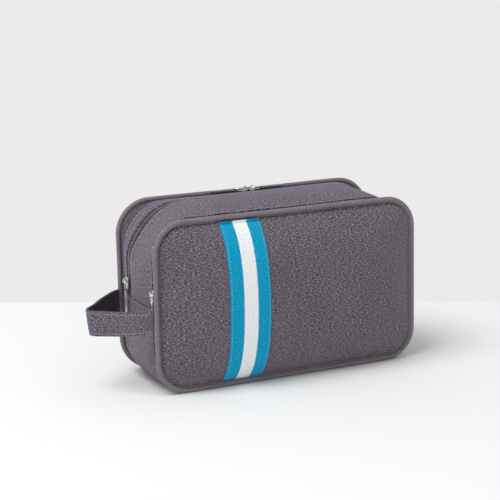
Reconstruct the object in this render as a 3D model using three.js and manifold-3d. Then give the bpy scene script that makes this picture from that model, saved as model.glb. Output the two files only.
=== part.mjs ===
// A zipped wash bag of heathered cloth with three compartments, a striped webbing band and a loop handle.
// Millimetres. +Z is up, the striped face looks along -Y, and the handle is at the -X end.
import * as THREE from "three";
import { mergeVertices } from "three/addons/utils/BufferGeometryUtils.js";
import Module from "manifold-3d";

const wasm = await Module();
wasm.setup();

const seamHalfWidth = 125.2; // half the width at the seam between a face panel and its piping
const seamLow = 4.8;
const frontSeamHigh = 149.6;
const backSeamHigh = 155.1;
const frontCorner = 24.7;
const backCorner = 27.6;
const halfDepth = 45.75; // from the middle to the outer side of either piping
const pipingRadius = 2.3;
const pipingStand = 2.4; // the piping's centre line lies this far outside the seam
const pipingY = halfDepth - pipingRadius;
const foldHeight = 76; // the zips end here, and the face panels fold outwards along this line
const foldGap = 0.3;
const gap = 0.3;
const crownTop = 7; // how far the padded gusset stands up between the pipings
const crownSide = 2.4;
const crownCorner = 30; // how much rounder the gusset's top corners are than the pipings'
const crownMiddle = 8; // where along Y the gusset stands highest
const drawnForward = 8; // how far the main zip runs forward on its way over the top
const drawnFrom = 108; // the heights between which it does so
const drawnTo = 138;
const flatHalf = 25; // the base is flat this far either side of the middle
const frontBulge = 20;
const backBulge = 15;
const bulgePower = 2.5;
const clothThick = 1;
const foamThick = 3;
const liningThick = 0.6;
const cornerSteps = 5;
const frontZip = { low: -41, high: -32 };
const mainZip = { low: 18.3, high: 27.5 };
const rearZip = { low: 34.4, high: 40.9 };
const tape = { top: 0.5, bottom: 1.3, bodyEdge: 0.3 };
const coil = { top: -0.5, bottom: 1.3, inner: 0.5, outer: 1.7 };
const webbing = { centre: -49, width: 38, thick: 1, step: 6 };
const handle = { width: 23.5, low: 52, thick: 1.6, backing: 1, stations: 40 };
const handlePath = [
  [3.2, -41.2],
  [9, -40.2],
  [17, -34.5],
  [27, -23],
  [37, -12.5],
  [43.5, -7],
  [46.5, -1.5],
  [44, 4],
  [36, 12],
  [25.5, 24.5],
  [14.5, 34.5],
  [8, 39],
  [3.2, 40],
];
const slider = { length: 11, width: 6.4, plate: 1.2, rise: 0.9, drop: 1.8, floor: 1, fin: 0.4 };
const pivotAhead = 2.4; // the pull turns this far from the slider's middle, towards its nose
const pull = { low: 2.5, thick: 1.4, ringLength: 10.4, ringWidth: 7, reach: 34, barWidth: 4.4 };
const arch = { postThick: 0.9, halfWidth: 0.9, ahead: 1.25, behind: 1.4, low: 4.5, high: 5.4 };
const endSliderHeight = 88;
const topSliderOut = 6.1;

const colours = {
  cloth: 0x5d5559,
  piping: 0x6a6165,
  lining: 0x3b383c,
  foam: 0xd8d4cc,
  blueStripe: 0x2b93b8,
  tape: 0x55505a,
  coil: 0x3a373b,
  metal: 0x9a9a9e,
};

const bag = new THREE.Group();

function material(colour, roughness, metalness = 0) {
  return new THREE.MeshStandardMaterial({ color: colour, roughness, metalness });
}

const finishes = {
  cloth: material(colours.cloth, 0.9),
  piping: material(colours.piping, 0.75),
  lining: material(colours.lining, 0.6),
  foam: material(colours.foam, 0.95),
  webbing: material(colours.blueStripe, 0.7),
  tape: material(colours.tape, 0.85),
  coil: material(colours.coil, 0.5),
  metal: material(colours.metal, 0.35, 1),
};

function addPiece(name, geometry, finish, matrix) {
  const mesh = new THREE.Mesh(geometry, finishes[finish].clone());
  mesh.name = name;
  if (matrix) {
    mesh.applyMatrix4(matrix);
  }
  bag.add(mesh);
}

// The gusset's section at depth y: 1 where it stands fullest, 0 at either piping.
function crownAt(y) {
  const span = y < crownMiddle ? halfDepth + crownMiddle : halfDepth - crownMiddle;
  return 1 - Math.min(1, Math.abs(y - crownMiddle) / span) ** 1.6;
}

function sectionAt(y) {
  const share = (y + halfDepth) / (2 * halfDepth);
  const crown = crownAt(y);
  const corner = THREE.MathUtils.lerp(frontCorner, backCorner, share);
  const sag = Math.max(0, (Math.abs(y) - flatHalf) / (halfDepth - flatHalf));
  return {
    half: seamHalfWidth + crownSide * crown,
    low: seamLow * sag ** 1.5,
    high: THREE.MathUtils.lerp(frontSeamHigh, backSeamHigh, share) + crownTop * crown,
    lowCorner: corner + 4 * crown,
    highCorner: corner + crownCorner * crown,
  };
}

const frontSeam = sectionAt(-halfDepth);
const backSeam = sectionAt(halfDepth);

function arc(cx, cz, radius, from) {
  const points = [];
  for (let i = 0; i <= cornerSteps; i += 1) {
    const a = from + (i / cornerSteps) * (Math.PI / 2);
    points.push([cx + radius * Math.cos(a), cz + radius * Math.sin(a)]);
  }
  return points;
}

// The outline of a section drawn in by inset, as the part under the fold line and the part over it.
function outline(section, inset) {
  const half = section.half - inset;
  const low = section.low + inset;
  const high = section.high - inset;
  const lowR = section.lowCorner - inset;
  const highR = section.highCorner - inset;
  const under = foldHeight - foldGap / 2;
  const over = foldHeight + foldGap / 2;
  return {
    lower: [
      [-half, under],
      ...arc(-half + lowR, low + lowR, lowR, Math.PI),
      ...arc(half - lowR, low + lowR, lowR, 1.5 * Math.PI),
      [half, under],
    ],
    upper: [
      [half, over],
      ...arc(half - highR, high - highR, highR, 0),
      ...arc(-half + highR, high - highR, highR, Math.PI / 2),
      [-half, over],
    ],
  };
}

// A closed solid from rows of points: each row is one loop round the section, and a closed sweep joins its ends.
// The caps of an open sweep pair each point of a row with the one across from it.
function sweep(rows, closed) {
  const positions = [];
  const ring = rows[0].length;
  const face = (a, b, c) => {
    const flat = a.distanceTo(b) < 1e-6 || b.distanceTo(c) < 1e-6 || c.distanceTo(a) < 1e-6;
    if (!flat) {
      positions.push(...a.toArray(), ...b.toArray(), ...c.toArray());
    }
  };
  const spans = closed ? rows.length : rows.length - 1;
  for (let i = 0; i < spans; i += 1) {
    const here = rows[i];
    const next = rows[(i + 1) % rows.length];
    for (let k = 0; k < ring; k += 1) {
      const l = (k + 1) % ring;
      face(here[k], here[l], next[l]);
      face(here[k], next[l], next[k]);
    }
  }
  if (!closed) {
    const last = rows[rows.length - 1];
    for (let k = 0; k < ring / 2 - 1; k += 1) {
      const m = ring - 1 - k;
      face(rows[0][k], rows[0][m], rows[0][m - 1]);
      face(rows[0][k], rows[0][m - 1], rows[0][k + 1]);
      face(last[k], last[m - 1], last[m]);
      face(last[k], last[k + 1], last[m - 1]);
    }
  }
  return outward(positions);
}

function outward(positions) {
  let volume = 0;
  const a = new THREE.Vector3();
  const b = new THREE.Vector3();
  const c = new THREE.Vector3();
  for (let i = 0; i < positions.length; i += 9) {
    a.fromArray(positions, i);
    b.fromArray(positions, i + 3);
    c.fromArray(positions, i + 6);
    volume += a.dot(b.cross(c));
  }
  if (volume < 0) {
    for (let i = 0; i < positions.length; i += 9) {
      const kept = positions.slice(i + 3, i + 6);
      positions.splice(i + 3, 3, ...positions.slice(i + 6, i + 9));
      positions.splice(i + 6, 3, ...kept);
    }
  }
  const geometry = new THREE.BufferGeometry();
  geometry.setAttribute("position", new THREE.Float32BufferAttribute(positions, 3));
  geometry.computeVertexNormals();
  return geometry;
}

const point = ([x, z], y) => new THREE.Vector3(x, y, z);

// A point of the gusset: over the top of the bag it is drawn forward, most of all at the main zip.
function atDepth([x, z], y) {
  const front = THREE.MathUtils.clamp((y - frontZip.high) / (mainZip.low - frontZip.high), 0, 1);
  const plain = (mainZip.high + rearZip.low) / 2;
  const back = THREE.MathUtils.clamp((plain - y) / (plain - mainZip.high), 0, 1);
  const share = Math.min(front, back) * THREE.MathUtils.smoothstep(z, drawnFrom, drawnTo);
  return point([x, z], y - drawnForward * share);
}

// A strip of the gusset between two depths, from the top inset to the bottom one. side is lower, upper or both.
function band(side, fromY, toY, top, bottom, steps = 1) {
  const depths = Array.from({ length: steps + 1 }, (_, i) => THREE.MathUtils.lerp(fromY, toY, i / steps));
  const outer = depths.map((y) => pick(outline(sectionAt(y), top), side));
  const inner = depths.map((y) => pick(outline(sectionAt(y), bottom), side));
  const rows = outer[0].map((_, i) => [
    ...depths.map((y, j) => atDepth(outer[j][i], y)),
    ...depths.map((y, j) => atDepth(inner[j][i], y)).reverse(),
  ]);
  return sweep(rows, side === "both");
}

function pick(lines, side) {
  return side === "both" ? [...lines.lower, ...lines.upper] : lines[side];
}

// How far a face panel bulges at share s of the way from its middle to its seam.
function bulge(height, s) {
  return height * (1 - s ** bulgePower);
}

// One layer of a face panel, domed out from its seam plane. outwards is -1 at the front and 1 at the back.
function dome(side, seam, outwards, height, inset, depth, thick) {
  const shares = [1, 0.92, 0.8, 0.62, 0.4, 0];
  const line = outline(seam, inset)[side];
  const middle = side === "lower" ? foldHeight - foldGap / 2 : foldHeight + foldGap / 2;
  const layer = (i, s, deep) => {
    const x = line[i][0] * s;
    const z = middle + (line[i][1] - middle) * s;
    return new THREE.Vector3(x, outwards * (halfDepth + bulge(height, s) - deep), z);
  };
  const rows = line.map((_, i) => [
    ...shares.map((s) => layer(i, s, depth)),
    ...shares.map((s) => layer(i, s, depth + thick)).reverse(),
  ]);
  return sweep(rows, false);
}

function piping(side, seam, y) {
  const angles = Array.from({ length: 10 }, (_, i) => ((i + 0.5) / 10) * 2 * Math.PI);
  const lines = angles.map((a) => outline(seam, -pipingStand - pipingRadius * Math.cos(a))[side]);
  const rows = lines[0].map((_, i) =>
    angles.map((a, k) => point(lines[k][i], y + pipingRadius * Math.sin(a))),
  );
  return sweep(rows, false);
}

function divider(side, y, thick, inset) {
  const line = pick(outline(sectionAt(y), inset), side);
  const shape = new THREE.Shape(line.map(([x, z]) => new THREE.Vector2(x, z)));
  const geometry = new THREE.ExtrudeGeometry(shape, { depth: thick, bevelEnabled: false });
  geometry.rotateX(Math.PI / 2);
  geometry.translate(0, y + thick, 0);
  return geometry;
}

// The share s of a point on the front face: the outline scaled by s about the middle passes through it.
function shareAt(x, z) {
  const reach = z > foldHeight ? frontSeam.high - foldHeight : foldHeight - frontSeam.low;
  return Math.min(1, Math.max(Math.abs(x) / frontSeam.half, Math.abs(z - foldHeight) / reach));
}

function stripe(side) {
  const from = side === "lower" ? seamLow + 1.2 : foldHeight + foldGap / 2;
  const to = side === "lower" ? foldHeight - foldGap / 2 : frontSeamHigh - 1.2;
  const count = Math.ceil((to - from) / webbing.step);
  const across = [-0.5, -0.25, 0, 0.25, 0.5].map((t) => webbing.centre + t * webbing.width);
  const rows = Array.from({ length: count + 1 }, (_, i) => {
    const z = THREE.MathUtils.lerp(from, to, i / count);
    const y = (x, off) => -halfDepth - bulge(frontBulge, shareAt(x, z)) - off;
    return [
      ...across.map((x) => new THREE.Vector3(x, y(x, 0.5 + webbing.thick), z)),
      ...across.map((x) => new THREE.Vector3(x, y(x, 0.5), z)).reverse(),
    ];
  });
  return sweep(rows, false);
}

// The two tapes and the two toothed coils of a zip, one of each on either side of its middle line.
function zipHalves(names, zip) {
  const middle = (zip.low + zip.high) / 2;
  const parts = [
    [names.low + "_tape", zip.low + tape.bodyEdge, middle - coil.outer - gap, tape.top, tape.bottom, "tape"],
    [names.low + "_coil", middle - coil.outer, middle - coil.inner, coil.top, coil.bottom, "coil"],
    [names.high + "_coil", middle + coil.inner, middle + coil.outer, coil.top, coil.bottom, "coil"],
    [names.high + "_tape", middle + coil.outer + gap, zip.high - tape.bodyEdge, tape.top, tape.bottom, "tape"],
  ];
  for (const [name, from, to, top, bottom, finish] of parts) {
    addPiece(name, band("upper", from, to, top, bottom), finish);
  }
}

function solid(geometry) {
  const bare = geometry.index ? geometry.toNonIndexed() : geometry.clone();
  bare.deleteAttribute("normal");
  bare.deleteAttribute("uv");
  const merged = mergeVertices(bare, 1e-4);
  const mesh = new wasm.Mesh({
    numProp: 3,
    vertProperties: merged.attributes.position.array,
    triVerts: new Uint32Array(merged.index.array),
  });
  return new wasm.Manifold(mesh);
}

function joined(geometries) {
  const whole = geometries.map(solid).reduce((a, b) => a.add(b));
  const mesh = whole.getMesh();
  const geometry = new THREE.BufferGeometry();
  geometry.setAttribute("position", new THREE.BufferAttribute(mesh.vertProperties, 3));
  geometry.setIndex(new THREE.BufferAttribute(mesh.triVerts, 1));
  geometry.computeVertexNormals();
  return geometry;
}

function block(fromU, toU, halfV, fromW, toW) {
  const geometry = new THREE.BoxGeometry(toU - fromU, 2 * halfV, toW - fromW);
  return geometry.translate((fromU + toU) / 2, 0, (fromW + toW) / 2);
}

function roundedPlate(length, width, corner, fromW, thick) {
  const shape = new THREE.Shape();
  const a = length / 2;
  const b = width / 2;
  shape.moveTo(-a + corner, -b);
  shape.lineTo(a - corner, -b);
  shape.absarc(a - corner, -b + corner, corner, -Math.PI / 2, 0);
  shape.lineTo(a, b - corner);
  shape.absarc(a - corner, b - corner, corner, 0, Math.PI / 2);
  shape.lineTo(-a + corner, b);
  shape.absarc(-a + corner, b - corner, corner, Math.PI / 2, Math.PI);
  shape.lineTo(-a, -b + corner);
  shape.absarc(-a + corner, -b + corner, corner, Math.PI, 1.5 * Math.PI);
  const geometry = new THREE.ExtrudeGeometry(shape, { depth: thick, bevelEnabled: false, curveSegments: 3 });
  return geometry.translate(0, 0, fromW);
}

// U runs along the zip towards the slider's nose, V across it and W out of the cloth.
function sliderBody() {
  const topOfPlate = slider.rise + slider.plate;
  const front = pivotAhead + arch.ahead;
  const back = pivotAhead - arch.behind;
  return joined([
    roundedPlate(slider.length, slider.width, 1.8, slider.rise, slider.plate),
    roundedPlate(slider.length - 1, slider.width - 0.8, 1.6, -slider.drop - slider.floor, slider.floor),
    block(-1, slider.length / 2 - 1.5, slider.fin / 2, -slider.drop - 0.2, slider.rise + 0.2),
    block(front, front + arch.postThick, arch.halfWidth, topOfPlate - 0.2, arch.high),
    block(back - arch.postThick, back, arch.halfWidth, topOfPlate - 0.2, arch.high),
    block(back - arch.postThick, front + arch.postThick, arch.halfWidth, arch.low, arch.high),
  ]);
}

// The pull's oval eye hooks under the slider's arch, and a slim round-ended bar hangs from it.
function pullPlate() {
  const eyeMiddle = 0.85 - pull.ringLength / 2;
  const shape = new THREE.Shape();
  const half = pull.barWidth / 2;
  const joinU = eyeMiddle - (pull.ringLength / 2) * Math.sqrt(1 - (half / (pull.ringWidth / 2)) ** 2);
  const start = Math.acos((joinU - eyeMiddle) / (pull.ringLength / 2));
  shape.absellipse(eyeMiddle, 0, pull.ringLength / 2, pull.ringWidth / 2, -start, start, false);
  shape.lineTo(-pull.reach + half, half);
  shape.absarc(-pull.reach + half, 0, half, Math.PI / 2, 1.5 * Math.PI);
  shape.lineTo(joinU, -half);
  const eye = new THREE.Path();
  eye.absellipse(eyeMiddle, 0, pull.ringLength / 2 - 1.5, pull.ringWidth / 2 - 1.4, 0, 2 * Math.PI, true);
  shape.holes.push(eye);
  const geometry = new THREE.ExtrudeGeometry(shape, {
    depth: pull.thick,
    bevelEnabled: false,
    curveSegments: 8,
  });
  return geometry.translate(pivotAhead, 0, pull.low);
}

// The matrix that puts U, V and W on the gusset at depth y: along the top, or up the handle's end.
function seat(y, along, x, z) {
  const step = 0.5;
  const before = sectionAt(y - step);
  const after = sectionAt(y + step);
  const onTop = Math.abs(along.x) > 0.5;
  const slope = onTop ? (after.high - before.high) / (2 * step) : (before.half - after.half) / (2 * step);
  const across = onTop ? new THREE.Vector3(0, 1, slope) : new THREE.Vector3(slope, 1, 0);
  across.normalize();
  const out = new THREE.Vector3().crossVectors(along, across);
  if (out.dot(onTop ? new THREE.Vector3(0, 0, 1) : new THREE.Vector3(-1, 0, 0)) < 0) {
    across.negate();
    out.negate();
  }
  const section = sectionAt(y);
  const place = onTop ? new THREE.Vector3(x, y, section.high) : new THREE.Vector3(-section.half, y, z);
  return new THREE.Matrix4().makeBasis(along, across, out).setPosition(place);
}

function addSlider(name, matrix) {
  addPiece(name + "_slider", sliderBody(), "metal", matrix);
  addPiece(name + "_pull", pullPlate(), "metal", matrix);
}

// The loop handle seen from above, as a closed outline between two distances from its centre line.
function handleLayer(from, to) {
  const wall = sectionAt(0).half;
  const points = handlePath.map(([out, y]) => new THREE.Vector3(-wall - out, y, 0));
  const curve = new THREE.CatmullRomCurve3(points, false, "centripetal");
  const inner = [];
  const outer = [];
  for (let i = 0; i <= handle.stations; i += 1) {
    const at = curve.getPointAt(i / handle.stations);
    const dir = curve.getTangentAt(i / handle.stations);
    inner.push(new THREE.Vector2(at.x + dir.y * from, at.y - dir.x * from));
    outer.push(new THREE.Vector2(at.x + dir.y * to, at.y - dir.x * to));
  }
  const shape = new THREE.Shape([...outer, ...inner.reverse()]);
  const geometry = new THREE.ExtrudeGeometry(shape, { depth: handle.width, bevelEnabled: false });
  return geometry.translate(0, 0, handle.low);
}

function facePanels(prefix, seam, outwards, height) {
  for (const side of ["lower", "upper"]) {
    const foamDepth = clothThick + gap;
    const liningDepth = foamDepth + foamThick + gap;
    addPiece(`${prefix}_panel_${side}`, dome(side, seam, outwards, height, 0.2, 0, clothThick), "cloth");
    addPiece(`${prefix}_foam_${side}`, dome(side, seam, outwards, height, 3.6, foamDepth, foamThick), "foam");
    addPiece(
      `${prefix}_lining_${side}`,
      dome(side, seam, outwards, height, 3.6, liningDepth, liningThick),
      "lining",
    );
    addPiece(`${prefix}_piping_${side}`, piping(side, seam, outwards * pipingY), "piping");
  }
}

facePanels("front", frontSeam, -1, frontBulge);
facePanels("back", backSeam, 1, backBulge);
addPiece("stripe_webbing_lower", stripe("lower"), "webbing");
addPiece("stripe_webbing_upper", stripe("upper"), "webbing");

addPiece("middle_gusset", band("upper", frontZip.high, mainZip.low, 0, clothThick, 6), "cloth");
addPiece("back_gusset", band("upper", mainZip.high, rearZip.low, 0, clothThick, 2), "cloth");
addPiece("lower_gusset", band("lower", frontZip.high, rearZip.low, 0, clothThick, 8), "cloth");
addPiece("front_edge_band", band("lower", frontZip.low, frontZip.high - gap, 0.2, clothThick), "cloth");
addPiece("rear_edge_band", band("lower", rearZip.low + gap, rearZip.high, 0.2, clothThick), "cloth");

const foamTop = clothThick + gap;
const liningTop = foamTop + foamThick + gap;
addPiece("gusset_foam", band("both", -29.8, 17.6, foamTop, foamTop + foamThick, 4), "foam");
addPiece("main_lining", band("both", -29.8, 17.6, liningTop, liningTop + liningThick, 4), "lining");
addPiece("front_divider", divider("both", -31.5, 0.8, clothThick + 0.5), "lining");
addPiece("rear_divider_lower", divider("lower", 30, 0.8, clothThick + 0.5), "lining");
addPiece("rear_divider_upper", divider("upper", 30, 0.8, clothThick + 0.5), "lining");

zipHalves({ low: "front_zip_cover", high: "front_zip_bag" }, frontZip);
zipHalves({ low: "main_zip_bag", high: "main_zip_rear" }, mainZip);
zipHalves({ low: "rear_zip_front", high: "rear_zip_cover" }, rearZip);

const up = new THREE.Vector3(0, 0, 1);
const right = new THREE.Vector3(1, 0, 0);
const left = new THREE.Vector3(-1, 0, 0);
const zipMiddle = (zip) => (zip.low + zip.high) / 2;
addSlider("front_zip", seat(zipMiddle(frontZip), up, 0, endSliderHeight));
addSlider("main_zip", seat(zipMiddle(mainZip), up, 0, endSliderHeight));
addSlider("rear_zip_left", seat(zipMiddle(rearZip), right, -topSliderOut, 0));
addSlider("rear_zip_right", seat(zipMiddle(rearZip), left, topSliderOut, 0));

addPiece("handle_strap", handleLayer(-handle.thick, 0), "cloth");
addPiece("handle_backing", handleLayer(gap, gap + handle.backing), "lining");

// The part's origin is under the middle of its box, on the surface that it stands on.
const box = new THREE.Box3().setFromObject(bag);
bag.position.set(-(box.min.x + box.max.x) / 2, -(box.min.y + box.max.y) / 2, -box.min.z);

export default bag;
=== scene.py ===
import math

import bmesh
import bpy
from mathutils import Matrix, Vector, noise
from mathutils.bvhtree import BVHTree

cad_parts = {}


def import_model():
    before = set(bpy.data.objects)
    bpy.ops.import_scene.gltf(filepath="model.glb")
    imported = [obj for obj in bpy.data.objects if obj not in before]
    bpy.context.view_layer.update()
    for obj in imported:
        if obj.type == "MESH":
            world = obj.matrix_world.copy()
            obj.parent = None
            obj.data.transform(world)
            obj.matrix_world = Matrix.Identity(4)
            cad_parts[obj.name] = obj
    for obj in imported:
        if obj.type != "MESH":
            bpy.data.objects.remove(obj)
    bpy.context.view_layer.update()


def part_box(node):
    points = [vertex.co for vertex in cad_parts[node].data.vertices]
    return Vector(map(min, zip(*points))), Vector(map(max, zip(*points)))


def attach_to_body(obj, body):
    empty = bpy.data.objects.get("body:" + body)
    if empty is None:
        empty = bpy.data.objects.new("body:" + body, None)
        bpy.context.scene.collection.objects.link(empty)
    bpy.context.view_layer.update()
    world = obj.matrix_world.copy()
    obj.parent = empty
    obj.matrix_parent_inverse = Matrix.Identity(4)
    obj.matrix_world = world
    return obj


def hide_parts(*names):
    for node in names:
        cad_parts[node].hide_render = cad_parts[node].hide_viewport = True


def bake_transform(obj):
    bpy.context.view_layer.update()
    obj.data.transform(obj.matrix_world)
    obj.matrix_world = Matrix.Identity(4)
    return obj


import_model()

mm = 0.001
scene = bpy.context.scene

# Everything is drawn in millimetres about the middle of the bag's base, then moved into the frame.
pipingLow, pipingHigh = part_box("front_piping_upper")
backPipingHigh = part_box("back_piping_upper")[1]
centre = Vector(((pipingLow.x + pipingHigh.x) / 2, (pipingLow.y + backPipingHigh.y) / 2, 0))

bagShape = {
    "seamHalf": (pipingHigh.x - pipingLow.x) / 2 / mm - 4.7,
    "halfDepth": (backPipingHigh.y - pipingLow.y) / 2 / mm,
    "seamLow": 4.8,
    "frontHigh": 149.6,
    "backHigh": 155.1,
    "frontCorner": 24.7,
    "backCorner": 27.6,
    "crownTop": 7.0,  # how far the padded gusset stands up between the pipings
    "crownSide": 2.4,
    "crownCorner": 30.0,
    "lowCrownCorner": 4.0,
    "crownMiddle": 8.0,
    "drawnForward": 8.0,  # how far the main zip runs forward on its way over the top
    "drawnFrom": 108.0,
    "drawnTo": 138.0,
    "flatHalf": 25.0,
    "fold": 76.0,  # height of the zip ends
    "foldGap": 0.3,
    "splitHeight": 104.0,  # the back pieces are cut here, between the bends of the two rear folds
}

frontZip = (-41.0, -32.0)
mainZip = (18.3, 27.5)
rearZip = (34.4, 40.9)

bends = {  # bends = { # the two bodies a piece of cloth spans, and the heights over which it would turn from one to the next; the heights are not read, and attach only fixes such a piece where it is drawn
    "front": ("bag", "front_cover", 70.0, 100.0),
    "rearSkin": ("bag", "rear_section", 72.0, 104.0),
    "backSkin": ("rear_section", "back_cover", 104.0, 130.0),
    "rearGusset": ("bag", "rear_section", 77.0, 104.0),
    "backGusset": ("rear_section", "back_cover", 77.0, 104.0),
}


def world(x, y, z):
    return Vector((centre.x + x * mm, centre.y + y * mm, max(z, 0.02) * mm))


def mix(a, b, share):
    return a + (b - a) * share


def ripple(x, y, z, size, seed):
    return noise.noise(Vector((x / size + seed, y / size - seed, z / size + 2 * seed)))


def drawnShare(y, z):
    front = (y - frontZip[1]) / (mainZip[0] - frontZip[1])
    plain = (mainZip[1] + rearZip[0]) / 2
    back = (plain - y) / (plain - mainZip[1])
    rise = (z - bagShape["drawnFrom"]) / (bagShape["drawnTo"] - bagShape["drawnFrom"])
    rise = min(1.0, max(0.0, rise))
    return max(0.0, min(1.0, front, back)) * rise * rise * (3 - 2 * rise)


def place(x, y, z):
    # One gentle unevenness, shared by every sewn piece, so that neighbours stay together.
    # Over the top of the bag the gusset is drawn forward, most of all at the main zip.
    share = min(1.0, z / 30) * 0.5
    y -= bagShape["drawnForward"] * drawnShare(y, z)
    return world(
        x + share * ripple(x, y, z, 75, 1.3),
        y + share * ripple(x, y, z, 75, 4.1),
        z + share * ripple(x, y, z, 75, 7.9),
    )


# The camera

cameraLook = {
    "place": (-577.2, -1174.0, 392.8),
    "azimuth": -25.5,
    "elevation": 12.27,
    "roll": -1.19,
    "lens": 105.6,
}


def addCamera(look):
    data = bpy.data.cameras.new("camera")
    data.lens = look["lens"]
    data.sensor_width = 36.0
    data.clip_end = 20.0
    camera = bpy.data.objects.new("camera", data)
    scene.collection.objects.link(camera)
    a, e, r = (math.radians(look[k]) for k in ("azimuth", "elevation", "roll"))
    back = Vector((math.sin(a) * math.cos(e), -math.cos(a) * math.cos(e), math.sin(e)))
    right = (-back).cross(Vector((0, 0, 1))).normalized()
    up = right.cross(-back)
    turnedRight = right * math.cos(r) + up * math.sin(r)
    turnedUp = up * math.cos(r) - right * math.sin(r)
    camera.matrix_world = Matrix.Translation(world(*look["place"])) @ Matrix(
        (turnedRight, turnedUp, back)
    ).transposed().to_4x4()
    scene.camera = camera


addCamera(cameraLook)


# Materials


def linear(hexColour):
    parts = [int(hexColour[i : i + 2], 16) / 255 for i in (1, 3, 5)]
    return [c / 12.92 if c <= 0.04045 else ((c + 0.055) / 1.055) ** 2.4 for c in parts] + [1.0]


def addNode(tree, kind, settings=None, links=None):
    # settings are attributes or input values, links are input: (node, output)
    node = tree.nodes.new(kind)
    for key, value in (settings or {}).items():
        if isinstance(key, str) and hasattr(node, key):
            setattr(node, key, value)
        else:
            node.inputs[key].default_value = value
    for key, (source, output) in (links or {}).items():
        tree.links.new(source.outputs[output], node.inputs[key])
    return node


def newMaterial(name, settings):
    material = bpy.data.materials.new(name)
    material.use_nodes = True
    tree = material.node_tree
    shader = tree.nodes["Principled BSDF"]
    for key, value in settings.items():
        shader.inputs[key].default_value = value
    return material, tree, shader


def fillRamp(ramp, stops):
    elements = ramp.color_ramp.elements
    while len(elements) < len(stops):
        elements.new(0.5)
    for element, (position, colour) in zip(elements, stops):
        element.position = position
        element.color = linear(colour)


def wovenCloth(name, look):
    material, tree, shader = newMaterial(
        name,
        {
            "Roughness": look["roughness"],
            "Sheen Weight": look["sheen"],
            "Sheen Roughness": 0.45,
            "Sheen Tint": linear(look["light"]),
            "Specular IOR Level": 0.25,
        },
    )
    weave = addNode(tree, "ShaderNodeUVMap", {"uv_map": "weave"})
    turned = addNode(
        tree,
        "ShaderNodeMapping",
        {"Rotation": (0, 0, math.radians(look["turn"]))},
        {"Vector": (weave, "UV")},
    )
    slub, thread = look["slub"] * mm, look["thread"] * mm
    fields = []
    for along, across in ((slub, thread), (thread, slub * 0.7)):
        stretched = addNode(
            tree,
            "ShaderNodeMapping",
            {"Scale": (1 / along, 1 / across, 1)},
            {"Vector": (turned, "Vector")},
        )
        fields.append(
            addNode(
                tree,
                "ShaderNodeTexNoise",
                {"Scale": 1.0, "Detail": 2.0, "Roughness": 0.6, "noise_dimensions": "2D"},
                {"Vector": (stretched, "Vector")},
            )
        )
    both = addNode(
        tree,
        "ShaderNodeMix",
        {"data_type": "FLOAT", 0: look["warpShare"]},
        {2: (fields[0], "Fac"), 3: (fields[1], "Fac")},
    )
    ramp = addNode(tree, "ShaderNodeValToRGB", None, {"Fac": (both, 0)})
    spread = look["spread"]
    fillRamp(
        ramp,
        [(0.5 - spread, look["dark"]), (0.5, look["middle"]), (0.5 + spread, look["light"])],
    )
    coords = addNode(tree, "ShaderNodeTexCoord")
    clouds = addNode(
        tree,
        "ShaderNodeTexNoise",
        {"Scale": 1 / (38 * mm), "Detail": 2.0},
        {"Vector": (coords, "Object")},
    )
    tone = addNode(
        tree,
        "ShaderNodeMapRange",
        {"From Min": 0.3, "From Max": 0.7, "To Min": 0.94, "To Max": 1.06},
        {"Value": (clouds, "Fac")},
    )
    tinted = addNode(
        tree,
        "ShaderNodeVectorMath",
        {"operation": "SCALE"},
        {0: (ramp, "Color"), "Scale": (tone, "Result")},
    )
    tree.links.new(tinted.outputs[0], shader.inputs["Base Color"])
    waves = []
    for direction in ("X", "Y"):
        waves.append(
            addNode(
                tree,
                "ShaderNodeTexWave",
                {
                    "bands_direction": direction,
                    "Scale": math.pi / 10 / (look["pitch"] * mm),
                    "Distortion": 0.8,
                    "Detail": 1.0,
                },
                {"Vector": (turned, "Vector")},
            )
        )
    crossing = addNode(
        tree,
        "ShaderNodeMath",
        {"operation": "MULTIPLY"},
        {0: (waves[0], "Fac"), 1: (waves[1], "Fac")},
    )
    height = addNode(
        tree,
        "ShaderNodeMath",
        {"operation": "ADD"},
        {0: (crossing, 0), 1: (both, 0)},
    )
    bump = addNode(
        tree,
        "ShaderNodeBump",
        {"Strength": look["bump"], "Distance": 0.35 * mm},
        {"Height": (height, 0)},
    )
    tree.links.new(bump.outputs[0], shader.inputs["Normal"])
    return material


# Heathered polyester canvas, woven from grey and mauve yarns: a soft matt face, short level slubs.
# The yarns are 0.4 mm apart, drawn at about 1 mm so that they show.
heatherLook = {
    "dark": "#302a30",
    "middle": "#5e5660",
    "light": "#a49ba9",
    "thread": 0.7,
    "slub": 2.2,
    "warpShare": 0.35,
    "spread": 0.19,
    "pitch": 0.8,
    "turn": 0.0,
    "bump": 0.35,
    "roughness": 0.9,
    "sheen": 0.55,
}
heatherCloth = wovenCloth("heatheredPolyesterCanvas", heatherLook)

# Bias-cut polyester over a cord: the same yarns pulled smooth, with a little shine on its crest.
# Its colours are paler than the canvas's, a painted highlight that lightens the whole cord.
pipingClothPaintedHighlight = wovenCloth(
    "biasCutPolyesterPipingPaintedHighlight",
    {
        **heatherLook,
        "dark": "#5e565b",
        "middle": "#7d747a",
        "light": "#9c9398",
        "turn": 45.0,
        "bump": 0.2,
        "roughness": 0.5,
        "sheen": 0.15,
    },
)

# Nylon taffeta lining: thin, dark and slightly slippery.
nylonLining = wovenCloth(
    "nylonTaffetaLining",
    {
        **heatherLook,
        "dark": "#2c292c",
        "middle": "#3a363a",
        "light": "#4a464b",
        "thread": 0.5,
        "slub": 1.5,
        "bump": 0.15,
        "roughness": 0.5,
        "sheen": 0.1,
    },
)

# The backing behind the handle, coloured dark all over: flat and ribbed.
backingTape = wovenCloth(
    "darkHandleBackingTape",
    {
        **heatherLook,
        "dark": "#2e292e",
        "middle": "#40393f",
        "light": "#544d54",
        "slub": 4.0,
        "bump": 0.5,
        "roughness": 0.75,
        "sheen": 0.1,
    },
)
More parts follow.
